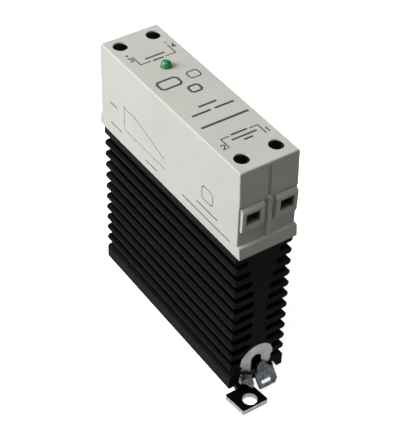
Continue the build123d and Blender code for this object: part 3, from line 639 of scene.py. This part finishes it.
# line widths and sign sizes of the printing, in millimetres like its places
line_weight = 0.42
sign_size = 2.1
sign_weight = 0.42
polarity_size = 1.8
polarity_weight = 0.36
mark_weight = 0.8
thin_mark_weight = 0.5
text_weight = 0.75
heavy_text_weight = 0.85
bottom_text_weight = 0.95
axis_weight = 0.22
tick_weight = 0.2
curve_weight = 0.3
chart_text_weight = 0.5
note_mark_weight = 0.36
note_text_weight = 0.55
printed(
    "print_terminal_signs",
    on_label,
    [
        *glyph("1", (8.1, -27.8), sign_size, sign_weight),
        *glyph("2", (-8.6, -27.8), sign_size, sign_weight),
        *glyph("3", (-8.4, 26.0), sign_size, sign_weight),
        *glyph("4", (8.2, 26.0), sign_size, sign_weight),
        *glyph("plus", (-8.2, 28.9), polarity_size, polarity_weight),
        *glyph("minus", (7.0, 28.9), polarity_size, polarity_weight),
    ],
)
printed(
    "print_input_bracket",
    on_label,
    [
        ([(-6.4, 28.4), (-6.4, 23.2), (-2.4, 23.2)], line_weight, False),
        ([(3.2, 23.2), (7.3, 23.2), (7.3, 28.4)], line_weight, False),
        bar((-3.4, 25.2), (4.2, 25.2), text_weight),
        bar((-1.7, 23.1), (2.5, 23.1), text_weight),
    ],
)
printed(
    "print_output_bracket",
    on_label,
    [
        ([(-6.6, -28.0), (-6.6, -23.2), (-3.4, -23.2)], line_weight, False),
        ([(4.2, -23.2), (7.3, -23.2), (7.3, -28.0)], line_weight, False),
        bar((-2.7, -23.0), (3.5, -23.0), text_weight),
        bar((-3.9, -25.2), (5.6, -25.2), text_weight),
        bar((-0.5, -27.0), (2.9, -27.0), text_weight),
    ],
)
printed(
    "print_blank_marks",
    on_label,
    [
        frame_outline((-4.1, 9.6), 7.8, 4.4, mark_weight, 0.9),
        frame_outline((5.6, 9.9), 4.2, 3.6, thin_mark_weight, 0.7),
        frame_outline((1.6, 3.1), 4.0, 3.4, mark_weight, 0.7),
    ],
)
printed(
    "print_label_lines",
    on_label,
    [
        bar((-3.2, -5.9), (3.6, -5.9), heavy_text_weight),
        bar((-7.7, -9.0), (-0.6, -9.0), heavy_text_weight),
        bar((0.9, -9.0), (8.2, -9.0), heavy_text_weight),
        bar((-8.6, -15.5), (9.3, -15.5), bottom_text_weight),
    ],
)
printed(
    "print_side_chart",
    on_left_side,
    [
        ([(25.9, 83.4), (25.9, 73.4), (0.8, 73.4)], axis_weight, False),
        ([(25.9, 82.5), (18.4, 82.5), (1.2, 77.3)], curve_weight, False),
        *[([(25.9, up), (26.7, up)], tick_weight, False) for up in (76.4, 79.4, 82.5)],
        *[([(y, 73.4), (y, 72.6)], tick_weight, False) for y in (20.0, 13.7, 7.4, 1.2)],
        bar((35.0, 79.4), (30.6, 79.4), chart_text_weight),
        bar((35.0, 71.0), (27.8, 71.0), chart_text_weight),
        bar((12.8, 69.2), (5.8, 69.2), chart_text_weight),
    ],
)
printed(
    "print_side_note",
    on_left_side,
    [
        frame_outline((-23.6, 79.6), 6.0, 5.2, note_mark_weight, 0.8),
        bar((-17.8, 73.6), (-29.6, 73.6), note_text_weight),
        bar((-9.6, 70.0), (-36.6, 70.0), note_text_weight),
    ],
)


# ================================================================ floor, light and camera
def floor_plane(half):
    """A square floor a hair below the mounting ears. It casts no diffuse light on the relay."""
    mesh = bmesh.new()
    corners = [(-half, -half), (half, -half), (half, half), (-half, half)]
    mesh.faces.new([mesh.verts.new((x, y, -FLOOR_GAP)) for x, y in corners])
    piece = object_from("floor", mesh, pale_floor())
    piece.visible_diffuse = False


def backdrop(radius, height, sides=64):
    """A round white wall near the floor's rim, which only the camera sees."""
    mesh = bmesh.new()
    turns = [math.tau * step / sides for step in range(sides)]
    rim = [(radius * math.cos(turn), radius * math.sin(turn)) for turn in turns]
    lower = [mesh.verts.new((x, y, -FLOOR_GAP)) for x, y in rim]
    upper = [mesh.verts.new((x, y, height)) for x, y in rim]
    for step in range(sides):
        following = (step + 1) % sides
        mesh.faces.new((lower[step], lower[following], upper[following], upper[step]))
    piece = object_from("backdrop", mesh, backdrop_paper())
    for rays in ("diffuse", "glossy", "transmission", "volume_scatter", "shadow"):
        setattr(piece, "visible_" + rays, False)


floor_plane(FLOOR_HALF)
backdrop(BACKDROP_RADIUS, BACKDROP_HEIGHT)


def softbox(name, place, target, size, power, tint=(1, 1, 1)):
    """A large square lamp at place that faces target. Places and size are in metres."""
    data = bpy.data.lights.new(name, "AREA")
    data.shape = "SQUARE"
    data.size = size
    data.energy = power
    data.color = tint
    lamp = bpy.data.objects.new(name, data)
    lamp.location = place
    lamp.rotation_mode = "QUATERNION"
    lamp.rotation_quaternion = (Vector(target) - Vector(place)).to_track_quat("-Z", "Y")
    scene.collection.objects.link(lamp)


WARM_WHITE = (1, 1, 0.92)
middle = (0, 0, 0.05)
softbox("key_left", (-0.83, 0.38, 0.64), middle, 0.7, 17.5)
softbox("back_right", (0.8, 0.9, 0.5), middle, 0.7, 3.0)
softbox("fill_front", (-0.30, -0.26, 1.0), middle, 0.3, 2.1, WARM_WHITE)
softbox("glint_low", (0.43, -0.81, 0.48), middle, 0.22, 0.4)

world = bpy.data.worlds.new("studio")
world.use_nodes = True
sky = world.node_tree.nodes["Background"]
sky.inputs["Color"].default_value = (*WARM_WHITE, 1)
sky.inputs["Strength"].default_value = 0.10
scene.world = world
scene.view_settings.view_transform = "Standard"
scene.cycles.use_denoising = True

CAMERA_PLACE = (-0.20085, -0.28877, 0.36023)
VIEW_RIGHT = (0.82849, -0.55954, 0.02295)
VIEW_FORWARD = (0.43019, 0.60966, -0.66577)
camera_data = bpy.data.cameras.new("camera")
camera_data.lens = 111.7
camera_data.sensor_width = 36.0
camera_data.clip_start = 0.01
camera_data.clip_end = 20.0
camera = bpy.data.objects.new("camera", camera_data)
scene.collection.objects.link(camera)
view_right = Vector(VIEW_RIGHT).normalized()
view_forward = Vector(VIEW_FORWARD).normalized()
view_up = view_right.cross(view_forward)
turn = Matrix((view_right, view_up, -view_forward)).transposed().to_4x4()
camera.matrix_world = Matrix.Translation(CAMERA_PLACE) @ turn
scene.camera = camera
